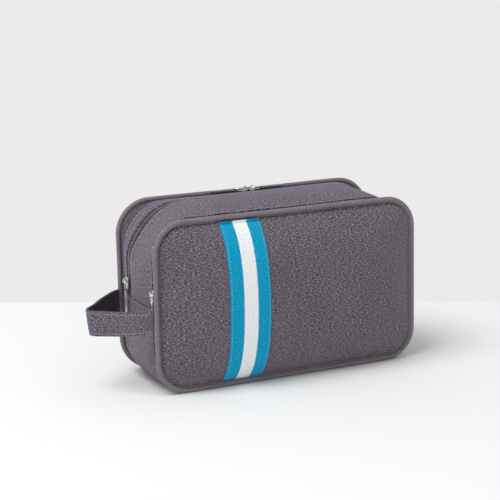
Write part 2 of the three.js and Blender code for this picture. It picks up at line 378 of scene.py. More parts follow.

# Zip tape, a close polyester twill with a rib along each side: dark in its own colour, and darkened
# further as painted shade for the narrow gaps on either side of the coil.
zipTapePaintedShade = wovenCloth(
    "polyesterZipTapePaintedShade",
    {
        **heatherLook,
        "dark": "#241f24",
        "middle": "#332d33",
        "light": "#474047",
        "slub": 1.6,
        "turn": 20.0,
        "bump": 0.3,
        "roughness": 0.8,
        "sheen": 0.1,
    },
)


def stripedWebbing():
    # Cotton-faced webbing, woven in one piece: close cross ribs, the white yarns a little proud.
    material, tree, shader = newMaterial(
        "wovenStripedWebbing",
        {"Roughness": 0.82, "Sheen Weight": 0.05, "Specular IOR Level": 0.2},
    )
    weave = addNode(tree, "ShaderNodeUVMap", {"uv_map": "weave"})
    split = addNode(tree, "ShaderNodeSeparateXYZ", None, {0: (weave, "UV")})
    jag = addNode(
        tree,
        "ShaderNodeTexNoise",
        {"Scale": 1 / (1.4 * mm), "noise_dimensions": "2D"},
        {"Vector": (weave, "UV")},
    )
    shift = addNode(
        tree,
        "ShaderNodeMath",
        {"operation": "MULTIPLY_ADD", 1: 0.9 * mm, 2: -0.45 * mm},
        {0: (jag, "Fac")},
    )
    aside = addNode(tree, "ShaderNodeMath", {"operation": "ABSOLUTE"}, {0: (split, "X")})
    edge = addNode(
        tree, "ShaderNodeMath", {"operation": "ADD"}, {0: (aside, 0), 1: (shift, 0)}
    )
    white = addNode(
        tree,
        "ShaderNodeMapRange",
        {"From Min": 6.2 * mm, "From Max": 6.8 * mm, "To Min": 1.0, "To Max": 0.0},
        {"Value": (edge, 0)},
    )
    ribs = addNode(
        tree,
        "ShaderNodeTexWave",
        {
            "bands_direction": "Y",
            "Scale": math.pi / 10 / (0.65 * mm),
            "Distortion": 1.2,
            "Detail": 1.0,
        },
        {"Vector": (weave, "UV")},
    )
    stretched = addNode(
        tree,
        "ShaderNodeMapping",
        {"Scale": (1 / (2.4 * mm), 1 / (0.9 * mm), 1)},
        {"Vector": (weave, "UV")},
    )
    grain = addNode(
        tree,
        "ShaderNodeTexNoise",
        {"Scale": 1.0, "Detail": 2.0, "noise_dimensions": "2D"},
        {"Vector": (stretched, "Vector")},
    )
    blue = addNode(tree, "ShaderNodeValToRGB", None, {"Fac": (grain, "Fac")})
    fillRamp(blue, [(0.3, "#0089b6"), (0.5, "#009dc8"), (0.7, "#0cadd6")])
    pale = addNode(tree, "ShaderNodeValToRGB", None, {"Fac": (grain, "Fac")})
    fillRamp(pale, [(0.3, "#e6ebee"), (0.5, "#f6f9fa"), (0.7, "#ffffff")])
    colour = addNode(
        tree,
        "ShaderNodeMix",
        {"data_type": "RGBA"},
        {0: (white, "Result"), 6: (blue, "Color"), 7: (pale, "Color")},
    )
    tree.links.new(colour.outputs[2], shader.inputs["Base Color"])
    height = addNode(
        tree, "ShaderNodeMath", {"operation": "ADD"}, {0: (ribs, "Fac"), 1: (white, "Result")}
    )
    bump = addNode(
        tree,
        "ShaderNodeBump",
        {"Strength": 0.4, "Distance": 0.25 * mm},
        {"Height": (height, 0)},
    )
    tree.links.new(bump.outputs[0], shader.inputs["Normal"])
    return material


def speckled(name, settings, stops, grain, bumpDepth, kind="ShaderNodeTexNoise"):
    # A finish with a fine grain in its colour and its surface, on the piece's own coordinates.
    material, tree, shader = newMaterial(name, settings)
    coords = addNode(tree, "ShaderNodeTexCoord")
    field = addNode(
        tree, kind, {"Scale": 1 / (grain * mm)}, {"Vector": (coords, "Object")}
    )
    ramp = addNode(tree, "ShaderNodeValToRGB", None, {"Fac": (field, 0)})
    fillRamp(ramp, stops)
    tree.links.new(ramp.outputs[0], shader.inputs["Base Color"])
    bump = addNode(
        tree,
        "ShaderNodeBump",
        {"Strength": 0.5, "Distance": bumpDepth * mm},
        {"Height": (field, 0)},
    )
    tree.links.new(bump.outputs[0], shader.inputs["Normal"])
    return material


webbingCloth = stripedWebbing()

# Open-cell polyurethane foam: pale, dry and pitted.
foamSheet = speckled(
    "polyurethaneFoam",
    {"Roughness": 0.95, "Subsurface Weight": 0.05},
    [(0.1, "#b9b3a6"), (0.45, "#dcd7cc"), (0.8, "#ece8de")],
    1.1,
    0.4,
    "ShaderNodeTexVoronoi",
)

# Moulded nylon coil: a soft gloss on each turn.
nylonCoil = speckled(
    "nylonZipCoil",
    {"Roughness": 0.42, "Specular IOR Level": 0.45},
    [(0.3, "#6a636c"), (0.7, "#857d88")],
    2.0,
    0.03,
)

# Die-cast zinc with a satin nickel plate: bright on its rounded edges, clouded by handling.
nickelPlate = speckled(
    "satinNickelPlatedZinc",
    {"Metallic": 1.0, "Roughness": 0.36},
    [(0.3, "#d2d4d8"), (0.7, "#eeeff2")],
    3.0,
    0.015,
)

# Spun polyester sewing thread, paler than the cloth.
sewingThread = speckled(
    "spunPolyesterThread",
    {"Roughness": 0.7, "Sheen Weight": 0.2},
    [(0.3, "#9d95a0"), (0.7, "#beb7c1")],
    0.5,
    0.05,
)

# The same thread in pale blue, along the edges of the webbing.
webbingThread = speckled(
    "paleBluePolyesterThread",
    {"Roughness": 0.7, "Sheen Weight": 0.2},
    [(0.3, "#4fb0cf"), (0.7, "#7cc8df")],
    0.5,
    0.05,
)

print("materials made")


# Meshes


def newObject(name, mesh, material):
    made = bpy.data.objects.new(name, mesh)
    scene.collection.objects.link(made)
    if not mesh.materials:
        mesh.materials.append(material)
    return made


def smooth(mesh, sharpAngle=50):
    mesh.polygons.foreach_set("use_smooth", [True] * len(mesh.polygons))
    mesh.set_sharp_from_angle(angle=math.radians(sharpAngle))


def tidyMesh(mesh):
    shape = bmesh.new()
    shape.from_mesh(mesh)
    bmesh.ops.remove_doubles(shape, verts=shape.verts, dist=1e-6)
    bmesh.ops.recalc_face_normals(shape, faces=shape.faces)
    shape.to_mesh(mesh)
    shape.free()


def splitMesh(mesh, keep, closed=False):
    # keep is the side of the split height that stays, 1 above and -1 below.
    shape = bmesh.new()
    shape.from_mesh(mesh)
    bmesh.ops.bisect_plane(
        shape,
        geom=shape.verts[:] + shape.edges[:] + shape.faces[:],
        plane_co=(0, 0, bagShape["splitHeight"] * mm),
        plane_no=(0, 0, 1),
        clear_inner=keep > 0,
        clear_outer=keep < 0,
    )
    if closed:
        bmesh.ops.holes_fill(shape, edges=[e for e in shape.edges if e.is_boundary])
        bmesh.ops.recalc_face_normals(shape, faces=shape.faces)
    shape.to_mesh(mesh)
    shape.free()


def applyModifiers(made):
    graph = bpy.context.evaluated_depsgraph_get()
    result = bpy.data.meshes.new_from_object(made.evaluated_get(graph))
    made.modifiers.clear()
    made.data = result


def gridPiece(name, rows, uAt, vAt, material, closed=False):
    # Each row is one loop round the section, and the rows follow each other along the piece.
    ring = len(rows[0])
    mesh = bpy.data.meshes.new(name)
    faces = []
    corners = []
    for i in range(len(rows) if closed else len(rows) - 1):
        n = (i + 1) % len(rows)
        for k in range(ring):
            m = (k + 1) % ring
            faces.append((i * ring + k, i * ring + m, n * ring + m, n * ring + k))
            corners += [
                (uAt[i], vAt[k]),
                (uAt[i], vAt[k + 1]),
                (uAt[i + 1], vAt[k + 1]),
                (uAt[i + 1], vAt[k]),
            ]
    if not closed:
        for i in (0, len(rows) - 1):
            for k in range(ring // 2 - 1):
                m = ring - 1 - k
                faces.append((i * ring + k, i * ring + k + 1, i * ring + m - 1, i * ring + m))
                corners += [(uAt[i], vAt[j]) for j in (k, k + 1, m - 1, m)]
    mesh.from_pydata([p for row in rows for p in row], [], faces)
    layer = mesh.uv_layers.new(name="weave")
    layer.data.foreach_set("uv", [c * mm for corner in corners for c in corner])
    tidyMesh(mesh)
    smooth(mesh)
    return newObject(name, mesh, material)


def bendsFor(piece):
    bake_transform(piece)


def attach(piece, body, nodes=()):
    # body is a CAD body's name or one of the bends
    if body in bends:
        bendsFor(piece)
    else:
        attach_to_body(piece, body)
    if nodes:
        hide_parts(*nodes)


# The gusset: strips that run over the top or under the bottom, from one fold to the other.

pathSteps = {"wall": 16, "corner": 16, "flat": 26}


def crownAt(y):
    middle, depth = bagShape["crownMiddle"], bagShape["halfDepth"]
    span = depth + middle if y < middle else depth - middle
    return 1 - min(1.0, abs(y - middle) / span) ** 1.6


def sectionAt(y):
    depth = bagShape["halfDepth"]
    share = (y + depth) / (2 * depth)
    crown = crownAt(y)
    corner = mix(bagShape["frontCorner"], bagShape["backCorner"], share)
    rise = max(0.0, (abs(y) - bagShape["flatHalf"]) / (depth - bagShape["flatHalf"]))
    return {
        "half": bagShape["seamHalf"] + bagShape["crownSide"] * crown,
        "low": bagShape["seamLow"] * rise**1.5,
        "high": mix(bagShape["frontHigh"], bagShape["backHigh"], share)
        + bagShape["crownTop"] * crown,
        "lowCorner": corner + bagShape["lowCrownCorner"] * crown,
        "highCorner": corner + bagShape["crownCorner"] * crown,
    }


def outline(section, inset, side, gap=None):
    # From the left fold round to the right one, over the top or under the bottom.
    gap = bagShape["foldGap"] / 2 if gap is None else gap
    up = 1 if side == "upper" else -1
    half = section["half"] - inset
    edge = section["high"] - inset if up > 0 else section["low"] + inset
    radius = section["highCorner" if up > 0 else "lowCorner"] - inset
    fold = bagShape["fold"] + up * gap
    left = []
    for i in range(pathSteps["wall"]):
        left.append((-half, mix(fold, edge - up * radius, i / pathSteps["wall"])))
    for i in range(pathSteps["corner"]):
        a = i / pathSteps["corner"] * math.pi / 2
        left.append((-half + radius * (1 - math.cos(a)), edge - up * radius * (1 - math.sin(a))))
    for i in range(pathSteps["flat"]):
        left.append((mix(-half + radius, 0, i / pathSteps["flat"]), edge))
    return left + [(0.0, edge)] + [(-x, z) for x, z in reversed(left)]


def loop(section, inset):
    upper = outline(section, inset, "upper", 0)
    lower = outline(section, inset, "lower", 0)
    return upper + lower[-2:0:-1]


def lengthsOf(points):
    total = [0.0]
    for a, b in zip(points, points[1:]):
        total.append(total[-1] + math.dist(a, b))
    return total


def rounding(distance, radius):
    inside = radius - min(max(distance, 0.0), radius)
    return radius - math.sqrt(max(0.0, radius * radius - inside * inside))


stitchPitch = 3.2


def surfaceInset(shape, y, s, total):
    low = y - shape["from"]
    width = shape["to"] - shape["from"]
    near = min(low, width - low)
    inset = shape["top"] + rounding(near, shape["edge"])
    if shape["side"] != "both":
        inset += rounding(min(s, total - s), shape["hem"])
    inset -= shape["puff"] * max(0.0, math.sin(math.pi * low / width)) ** 0.6
    for groove in shape["grooves"]:
        off = low - (groove if groove > 0 else width + groove)
        inset += 0.4 * math.exp(-((off / 0.8) ** 2))
        inset += 0.1 * math.sin(2 * math.pi * s / stitchPitch) * math.exp(-((off / 1.5) ** 2))
    for groove in shape["hemGrooves"]:
        off = min(s, total - s) - groove
        inset += 0.35 * math.exp(-((off / 0.8) ** 2))
    inset -= shape["ripple"] * ripple(s, y * 1.5, 0, 26, shape["seed"])
    inset -= 0.25 * shape["ripple"] * ripple(s, y, 0, 7, shape["seed"] + 3)
    return inset


plainStrip = {
    "edge": 0.5,  # radius of the turned-in edges
    "hem": 0.45,  # radius of the ends at the folds
    "puff": 0.0,
    "grooves": (),
    "hemGrooves": (),
    "ripple": 0.0,
    "seed": 1.0,
}


def stripLine(shape, y, lift=0.0):
    section = sectionAt(y)
    if shape["side"] == "both":
        outer, inner = loop(section, 0), loop(section, 1)
    else:
        outer, inner = (outline(section, inset, shape["side"]) for inset in (0, 1))
    lengths = lengthsOf(outer)
    points = []
    for a, b, s in zip(outer, inner, lengths):
        inset = surfaceInset(shape, y, s, lengths[-1]) - lift
        points.append(place(mix(a[0], b[0], inset), y, mix(a[1], b[1], inset)))
    return points


def acrossStrip(shape):
    width = shape["to"] - shape["from"]
    steps = [0.0, 0.12, 0.35, 0.7, 1.2, 1.8, 2.4, 3.0, 3.8, 5.0]
    while steps[-1] + 2.5 < width / 2:
        steps.append(steps[-1] + 2.5)
    near = [d for d in steps if d < width / 2 - 0.2]
    return (
        [shape["from"] + d for d in near]
        + [shape["from"] + width / 2]
        + [shape["to"] - d for d in reversed(near)]
    )


def strip(name, shape, material):
    depths = acrossStrip(shape)
    outer = [stripLine(shape, y) for y in depths]
    plain = {**shape, "grooves": (), "hemGrooves": (), "ripple": 0.0, "edge": 0.01, "hem": 0.01}
    thick = shape["thick"]
    inner = []
    for y in depths:
        near = min(y - shape["from"], shape["to"] - y)
        inner.append(stripLine(plain, y, rounding(near, thick / 2) * 0.9 - thick))
    rows = [
        [line[i] for line in outer] + [line[i] for line in reversed(inner)]
        for i in range(len(outer[0]))
    ]
    middle = sectionAt((shape["from"] + shape["to"]) / 2)
    closed = shape["side"] == "both"
    path = loop(middle, 0) if closed else outline(middle, 0, shape["side"])
    uAt = lengthsOf(path + path[:1] if closed else path)
    over = 0.6 * bagShape["drawnForward"] if shape["side"] == "upper" else 0.0
    drawn = [y - over * drawnShare(y, bagShape["drawnTo"]) for y in depths]
    vAt = drawn + drawn[::-1] + drawn[:1]
    return gridPiece(name, rows, uAt, vAt, material, closed)


clothThick = 1.0
foamThick = 3.0
liningThick = 0.6
foamTop = clothThick + 0.3
liningTop = clothThick + foamThick + 0.6

stripShapes = {
    "lowerGusset": {
        "side": "lower",
        "from": frontZip[1],
        "to": rearZip[0],
        "top": 0.0,
        "thick": clothThick,
        "puff": 0.25,
        "ripple": 0.9,
        "hem": 0.5,
        "hemGrooves": (2.6,),
        "seed": 2.2,
    },
    "middleGusset": {
        "side": "upper",
        "from": frontZip[1],
        "to": mainZip[0],
        "top": 0.0,
        "thick": clothThick,
        "puff": 0.9,
        "ripple": 0.8,
        "grooves": (2.4, -2.4),
        "seed": 5.1,
    },
    "backGusset": {
        "side": "upper",
        "from": mainZip[1],
        "to": rearZip[0],
        "top": 0.0,
        "thick": clothThick,
        "puff": 0.3,
        "ripple": 0.4,
        "grooves": (1.9, -1.9),
        "seed": 8.4,
    },
    "frontEdgeBand": {
        "side": "lower",
        "from": frontZip[0],
        "to": frontZip[1] - 0.3,
        "top": 0.2,
        "thick": clothThick - 0.2,
        "ripple": 0.3,
        "grooves": (-2.0,),
        "seed": 3.3,
    },
    "rearEdgeBand": {
        "side": "lower",
        "from": rearZip[0] + 0.3,
        "to": rearZip[1],
        "top": 0.2,
        "thick": clothThick - 0.2,
        "ripple": 0.3,
        "grooves": (2.0,),
        "seed": 6.3,
    },
}
stripHomes = {  # the body or bend that carries each strip, and the node it stands for
    "lowerGusset": ("bag", "lower_gusset"),
    "middleGusset": ("bag", "middle_gusset"),
    "backGusset": ("rearGusset", "back_gusset"),
    "frontEdgeBand": ("bag", "front_edge_band"),
    "rearEdgeBand": ("bag", "rear_edge_band"),
}
for name, (home, node) in stripHomes.items():
    stripShapes[name] = {**plainStrip, **stripShapes[name]}
    attach(strip(name, stripShapes[name], heatherCloth), home, [node])

innerFoam = {
    **plainStrip,
    "side": "both",
    "from": -29.8,
    "to": 17.6,
    "top": foamTop,
    "thick": foamThick,
    "edge": 1.2,
    "seed": 4.0,
}
innerLining = {
    **innerFoam,
    "top": liningTop,
    "thick": liningThick,
    "edge": 0.3,
    "ripple": 0.5,
}
attach(strip("gussetFoam", innerFoam, foamSheet), "bag", ["gusset_foam"])
attach(strip("mainLining", innerLining, nylonLining), "bag", ["main_lining"])
print("gusset made")


# The zips: a tape on each side, and a row of coil teeth along each tape's edge.

zipShape = {
    "tapeTop": 0.5,
    "tapeThick": 0.8,
    "coilInner": 0.5,
    "coilOuter": 1.7,
    "coilTop": -0.5,
    "coilThick": 1.8,
    "edge": 0.3,
    "gap": 0.3,
    "pitch": 1.5,  # the coil's turns are 1.3 mm apart, drawn a little wider
}
zips = [
    ("frontZipCover", "frontZipBag", frontZip, "front", "bag", "front_zip_cover", "front_zip_bag"),
    ("mainZipBag", "mainZipRear", mainZip, "bag", "rearGusset", "main_zip_bag", "main_zip_rear"),
    (
        "rearZipFront",
        "rearZipCover",
        rearZip,
        "rearGusset",
        "backGusset",
        "rear_zip_front",
        "rear_zip_cover",
    ),
]


def beadTree():
    # Small rounded beads at an even pitch along a path: stitches, and the teeth of a zip coil.
    tree = bpy.data.node_groups.new("beadsAlongPath", "GeometryNodeTree")
    tree.interface.new_socket("Geometry", in_out="INPUT", socket_type="NodeSocketGeometry")
    for name in ("Pitch", "Length", "Width", "Height"):
        tree.interface.new_socket(name, in_out="INPUT", socket_type="NodeSocketFloat")
    tree.interface.new_socket("Material", in_out="INPUT", socket_type="NodeSocketMaterial")
    tree.interface.new_socket("Geometry", in_out="OUTPUT", socket_type="NodeSocketGeometry")
    source = addNode(tree, "NodeGroupInput")
    curve = addNode(tree, "GeometryNodeMeshToCurve", None, {"Mesh": (source, "Geometry")})
    even = addNode(
        tree,
        "GeometryNodeResampleCurve",
        {"mode": "LENGTH"},
        {"Curve": (curve, "Curve"), "Length": (source, "Pitch")},
    )
    tangent = addNode(tree, "GeometryNodeInputTangent")
    turn = addNode(
        tree, "FunctionNodeAlignRotationToVector", {"axis": "X"}, {"Vector": (tangent, 0)}
    )
    bead = addNode(
        tree, "GeometryNodeMeshUVSphere", {"Segments": 8, "Rings": 5, "Radius": 0.5}
    )
    soft = addNode(tree, "GeometryNodeSetShadeSmooth", None, {0: (bead, "Mesh")})
    size = addNode(
        tree,
        "ShaderNodeCombineXYZ",
        None,
        {"X": (source, "Length"), "Y": (source, "Width"), "Z": (source, "Height")},
    )
    copies = addNode(
        tree,
        "GeometryNodeInstanceOnPoints",
        None,
        {
            "Points": (even, 0),
            "Instance": (soft, 0),
            "Rotation": (turn, 0),
            "Scale": (size, 0),
        },
    )
    real = addNode(tree, "GeometryNodeRealizeInstances", None, {0: (copies, 0)})
    finish = addNode(
        tree,
        "GeometryNodeSetMaterial",
        None,
        {"Geometry": (real, 0), "Material": (source, "Material")},
    )
    addNode(tree, "NodeGroupOutput", None, {0: (finish, 0)})
    return tree


beads = beadTree()


def beadPiece(name, lines, sizes, material):
    mesh = bpy.data.meshes.new(name)
    points = [p for line in lines for p in line]
    edges = []
    first = 0
    for line in lines:
        edges += [(first + i, first + i + 1) for i in range(len(line) - 1)]
        first += len(line)
    mesh.from_pydata(points, edges, [])
    made = bpy.data.objects.new(name, mesh)
    scene.collection.objects.link(made)
    row = made.modifiers.new("row", "NODES")
    row.node_group = beads
    values = {**{key: value * mm for key, value in sizes.items()}, "Material": material}
    for socket in beads.interface.items_tree:
        if socket.in_out == "INPUT" and socket.name in values:
            row[socket.identifier] = values[socket.name]
    applyModifiers(made)
    return made


def zipHalf(name, track, outwards, body, node):
    middle = (track[0] + track[1]) / 2
    inner = middle + outwards * (zipShape["coilOuter"] + zipShape["gap"])
    outer = track[1] - zipShape["edge"] if outwards > 0 else track[0] + zipShape["edge"]
    shape = {
        **plainStrip,
        "side": "upper",
        "from": min(inner, outer),
        "to": max(inner, outer),
        "top": zipShape["tapeTop"],
        "thick": zipShape["tapeThick"],
        "edge": 0.2,
        "hem": 0.2,
        "ripple": 0.15,
        "seed": 9.0,
    }
    attach(strip(name + "Tape", shape, zipTapePaintedShade), body, [node + "_tape"])
    away = (zipShape["coilInner"] + zipShape["coilOuter"]) / 2
    y = middle + outwards * away
    core = {
        **shape,
        "from": y - 0.45,
        "to": y + 0.45,
        "top": zipShape["coilTop"] + zipShape["coilThick"] / 2,
        "thick": 0.5,
    }
    cord = strip(name + "Coil", core, nylonCoil)
    attach(cord, body, [node + "_coil"])
    line = stripLine({**core, "ripple": 0.0, "edge": 0.01, "hem": 0.01}, y, -0.25)
    teeth = beadPiece(
        name + "Teeth",
        [line],
        {
            "Pitch": zipShape["pitch"],
            "Length": zipShape["pitch"] * 0.86,
            "Width": zipShape["coilOuter"] - zipShape["coilInner"] + 0.3,
            "Height": zipShape["coilThick"],
        },
        nylonCoil,
    )
    attach(teeth, body)


for lowName, highName, track, lowBody, highBody, lowNode, highNode in zips:
    zipHalf(lowName, track, -1, lowBody, lowNode)
    zipHalf(highName, track, 1, highBody, highNode)
print("zips made")


# The padded face panels

panelShape = {
    "frontBulge": 18.5,
    "backBulge": 14.0,
    "acrossPower": 4.0,
    "upPower": 2.4,
    "rings": 34,
    "rimInset": 1.0,
    "layerInset": 3.6,  # foam and lining stop this far inside the seam
    "rimDip": 3.0,  # the seam allowance turns in here, and leaves a groove beside the piping
    "rimRadius": 1.1,
    "pillowDeep": 6.0,
    "simScale": 0.01,  # a millimetre of the bag is a centimetre in the simulation
    "simSteps": 20,
    "simCap": 3.0,
}


def panelDepth(seam, height, x, z, share):
    middle = (seam["low"] + seam["high"]) / 2
    u = abs(x) / seam["half"]
    v = abs(z - middle) / ((seam["high"] - seam["low"]) / 2)
    dome = (1 - u ** panelShape["acrossPower"]) * (1 - v ** panelShape["upPower"])
    return height * max(0.0, dome) * (1 - share**10)


def panelSheet(seam, outwards, height, inset):
    middle = (seam["low"] + seam["high"]) / 2
    rim = loop(seam, inset)
    count = panelShape["rings"]
    shares = [1 - (i / count) ** 1.7 for i in range(count)]
    points = []
    flat = []
    for share in shares:
        for x, z in rim:
            px, pz = x * share, mix(middle, z, share)
            fromRim = (1 - share) * math.hypot(x, z - middle)
            y = outwards * (bagShape["halfDepth"] + panelDepth(seam, height, px, pz, share))
            turnedIn = math.exp(-((fromRim / panelShape["rimRadius"]) ** 2))
            y -= outwards * panelShape["rimDip"] * turnedIn
            points.append((px, y, pz))
            flat.append((px, pz))
    points.append((0.0, outwards * (bagShape["halfDepth"] + height), middle))
    flat.append((0.0, middle))
    ring = len(rim)
    faces = []
    for i in range(count - 1):
        for k in range(ring):
            m = (k + 1) % ring
            faces.append((i * ring + k, i * ring + m, (i + 1) * ring + m, (i + 1) * ring + k))
    for k in range(ring):
        faces.append(((count - 1) * ring + k, (count - 1) * ring + (k + 1) % ring, count * ring))
    if outwards < 0:
        faces = [face[::-1] for face in faces]
    return points, faces, flat, ring


def inflate(points, faces, ring, outwards):
    # The panel as a closed pillow with its rim and its back held still, blown up a little.
    mesh = bpy.data.meshes.new("pillow")
    count = len(points)
    scale, cap = panelShape["simScale"], panelShape["simCap"]
    backDepth = outwards * (bagShape["halfDepth"] - panelShape["pillowDeep"])
    back = [(x, backDepth, z) for x, _, z in points]
    sides = [(k, (k + 1) % ring, count + (k + 1) % ring, count + k) for k in range(ring)]
    allFaces = faces + [tuple(count + v for v in face[::-1]) for face in faces] + sides
    mesh.from_pydata([Vector(p) * scale for p in points + back], [], allFaces)
    pillow = bpy.data.objects.new("pillow", mesh)
    scene.collection.objects.link(pillow)
    shape = bmesh.new()
    shape.from_mesh(mesh)
    bmesh.ops.recalc_face_normals(shape, faces=shape.faces)
    shape.to_mesh(mesh)
    shape.free()
    held = pillow.vertex_groups.new(name="held")
    held.add(list(range(2 * ring)) + list(range(count, 2 * count)), 1.0, "REPLACE")
    cloth = pillow.modifiers.new("cloth", "CLOTH")
    settings = cloth.settings
    settings.quality = 6
    settings.mass = 0.3
    settings.tension_stiffness = 12
    settings.compression_stiffness = 12
    settings.shear_stiffness = 6
    settings.bending_stiffness = 1.5
    settings.vertex_group_mass = "held"
    settings.use_pressure = True
    settings.uniform_pressure_force = 4
    settings.shrink_min = -0.012
    settings.effector_weights.gravity = 0
    cloth.collision_settings.use_collision = False
    cloth.point_cache.frame_start = 1
    cloth.point_cache.frame_end = panelShape["simSteps"]
    for step in range(1, panelShape["simSteps"] + 1):
        scene.frame_set(step)
    graph = bpy.context.evaluated_depsgraph_get()
    result = pillow.evaluated_get(graph).to_mesh()
    moved = []
    for i, p in enumerate(points):
        shift = result.vertices[i].co / scale - Vector(p)
        if shift.length > 1e-6:
            shift *= cap * math.tanh(shift.length / cap) / shift.length
        moved.append(tuple(Vector(p) + shift))
    pillow.evaluated_get(graph).to_mesh_clear()
    bpy.data.objects.remove(pillow)
    scene.frame_set(1)
    return moved


def sheetPiece(name, points, faces, flat, thick, material, keep=None):
    # A sheet thickened inwards
    mesh = bpy.data.meshes.new(name)
    mesh.from_pydata([place(*p) for p in points], [], faces)
    layer = mesh.uv_layers.new(name="weave")
    for corner in mesh.loops:
        x, z = flat[corner.vertex_index]
        layer.data[corner.index].uv = (x * mm, z * mm)
    if keep:
        splitMesh(mesh, keep)
    made = newObject(name, mesh, material)
    wall = made.modifiers.new("wall", "SOLIDIFY")
    wall.thickness = thick * mm
    wall.offset = -1
    applyModifiers(made)
    tidyMesh(made.data)
    smooth(made.data)
    return made


def surfaceTree(points, faces):
    return BVHTree.FromPolygons([Vector(p) for p in points], faces)


def depthOn(tree, x, z, outwards):
    hit = tree.ray_cast(Vector((x, outwards * 200, z)), Vector((0, -outwards, 0)))[0]
    return hit.y if hit else outwards * bagShape["halfDepth"]


frontSeam = sectionAt(-bagShape["halfDepth"])
backSeam = sectionAt(bagShape["halfDepth"])
panelTrees = {}


def facePanel(prefix, node, seam, outwards, height, parts):
    points, faces, flat, ring = panelSheet(seam, outwards, height, panelShape["rimInset"])
    points = inflate(points, faces, ring, outwards)
    tree = surfaceTree(points, faces)
    panelTrees[prefix] = tree
    rim, inside = panelShape["rimInset"], panelShape["layerInset"]
    layers = [
        ("Panel", "panel", 0.0, rim, clothThick, heatherCloth, "heather_cloth"),
        ("Foam", "foam", foamTop, inside, foamThick, foamSheet, "foam"),
        ("Lining", "lining", liningTop, inside, liningThick, nylonLining, "lining"),
    ]
    for label, nodeLabel, depth, inset, thick, material, slot in layers:
        if depth:
            points, faces, flat, ring = panelSheet(seam, outwards, height, inset)
            points = [
                (x, depthOn(tree, x, z, outwards) - outwards * depth, z) for x, _, z in points
            ]
        for suffix, keep, bend, sides in parts:
            piece = sheetPiece(
                prefix + label + suffix, points, faces, flat, thick, material, keep
            )
            attach(piece, bend, [f"{node}_{nodeLabel}_{side}" for side in sides])


wholeFront = [("", None, "front", ("lower", "upper"))]
splitBack = [("Lower", -1, "rearSkin", ("lower",)), ("Upper", 1, "backSkin", ("upper",))]
facePanel("front", "front", frontSeam, -1, panelShape["frontBulge"], wholeFront)
facePanel("back", "back", backSeam, 1, panelShape["backBulge"], splitBack)
print("face panels made")


# Piping: a covered cord round each face, with its flange let into the seam.

pipingShape = {
    "radius": 2.3,
    "stand": 2.4,
    "flangeReach": 2.4,
    "flangeHalf": 0.6,
    "flangeDeep": 1.6,  # the flange slopes into the bag, and leaves a dark groove beside the panel
    "around": 20,
    "pull": 0.12,  # how far the stitches draw the cover in
}


def refined(points, times):
    made = []
    for i, (x, z) in enumerate(points):
        nx, nz = points[(i + 1) % len(points)]
        made += [(mix(x, nx, k / times), mix(z, nz, k / times)) for k in range(times)]
    return made


def pipingProfile(outwards):
    # (out from the cord's middle, along Y), starting in the middle of the flange's end
    radius = pipingShape["radius"]
    reach = -pipingShape["stand"] - pipingShape["flangeReach"]
    half = pipingShape["flangeHalf"]
    neck = math.asin(half / radius)
    turns = [
        math.pi - neck - i / pipingShape["around"] * 2 * (math.pi - neck)
        for i in range(pipingShape["around"] + 1)
    ]
    deep = -outwards * pipingShape["flangeDeep"]
    cord = [(radius * math.cos(a), radius * math.sin(a)) for a in turns]
    return [(reach, deep + half * 0.6)] + cord + [(reach, deep - half * 0.6)]


def piping(name, seam, outwards, keep=None):
    inner = refined(loop(seam, 0), 2)
    outer = refined(loop(seam, -1), 2)
    lengths = lengthsOf(inner + inner[:1])
    middle = outwards * (bagShape["halfDepth"] - pipingShape["radius"])
    profile = pipingProfile(outwards)
    rows = []
    for i, (a, b) in enumerate(zip(inner, outer)):
        s = lengths[i]
        swell = 1 - pipingShape["pull"] / 2 * (1 + math.sin(2 * math.pi * s / stitchPitch)) * 0.3
        swell += 0.02 * ripple(s, 0, 0, 9, 2.0)
        row = []
        for out, along in profile:
            away = pipingShape["stand"] + out * swell
            row.append(
                place(
                    mix(a[0], b[0], away),
                    middle + along * swell,
                    mix(a[1], b[1], away),
                )
            )
        rows.append(row)
    around = lengthsOf(profile + profile[:1])
    piece = gridPiece(name, rows, lengths, around, pipingClothPaintedHighlight, True)
    if keep:
        splitMesh(piece.data, keep, True)
        smooth(piece.data)
    return piece


attach(
    piping("frontPiping", frontSeam, -1),
    "front",
    ["front_piping_lower", "front_piping_upper"],
)
attach(piping("backPipingLower", backSeam, 1, -1), "rearSkin", ["back_piping_lower"])
attach(piping("backPipingUpper", backSeam, 1, 1), "backSkin", ["back_piping_upper"])
print("piping made")


# The striped webbing, sewn flat on the front panel with its ends caught in the seam

webbingShape = {
    "middle": -49.0,
    "width": 38.0,
    "thick": 0.9,
    "lift": 0.4,
    "columns": 20,
    "rowStep": 1.6,
    "tuck": 1.0,
    "stitchIn": 1.5,
}


def webbingPoint(x, z, lift):
    return place(x, depthOn(panelTrees["front"], x, z, -1) - lift, z)


def stripedBand():
    half = webbingShape["width"] / 2
    low = frontSeam["low"] + webbingShape["tuck"]
    high = frontSeam["high"] - webbingShape["tuck"]
    count = int((high - low) / webbingShape["rowStep"])
    columns = [
        webbingShape["middle"] + mix(-half, half, k / webbingShape["columns"])
        for k in range(webbingShape["columns"] + 1)
    ]
    rows = []
    uAt = []
    for i in range(count + 1):
        z = mix(low, high, i / count)
        top = webbingShape["lift"] + webbingShape["thick"]
        ribbed = 0.06 * math.sin(i * 2.4)
        outer = [
            webbingPoint(x + ribbed, z, top - rounding(half - abs(x - webbingShape["middle"]), 0.4))
            for x in columns
        ]
        inner = [webbingPoint(x + ribbed, z, webbingShape["lift"]) for x in reversed(columns)]
        rows.append(outer + inner)
        uAt.append(z)
    across = [x - webbingShape["middle"] for x in columns]
    vAt = across + across[::-1] + across[:1]
    piece = gridPiece("stripeWebbing", rows, uAt, vAt, webbingCloth)
    for corner in piece.data.uv_layers["weave"].data:
        corner.uv = (corner.uv[1], corner.uv[0])
    return piece


attach(
    stripedBand(),
    "front",
    ["stripe_webbing_lower", "stripe_webbing_upper"],
)

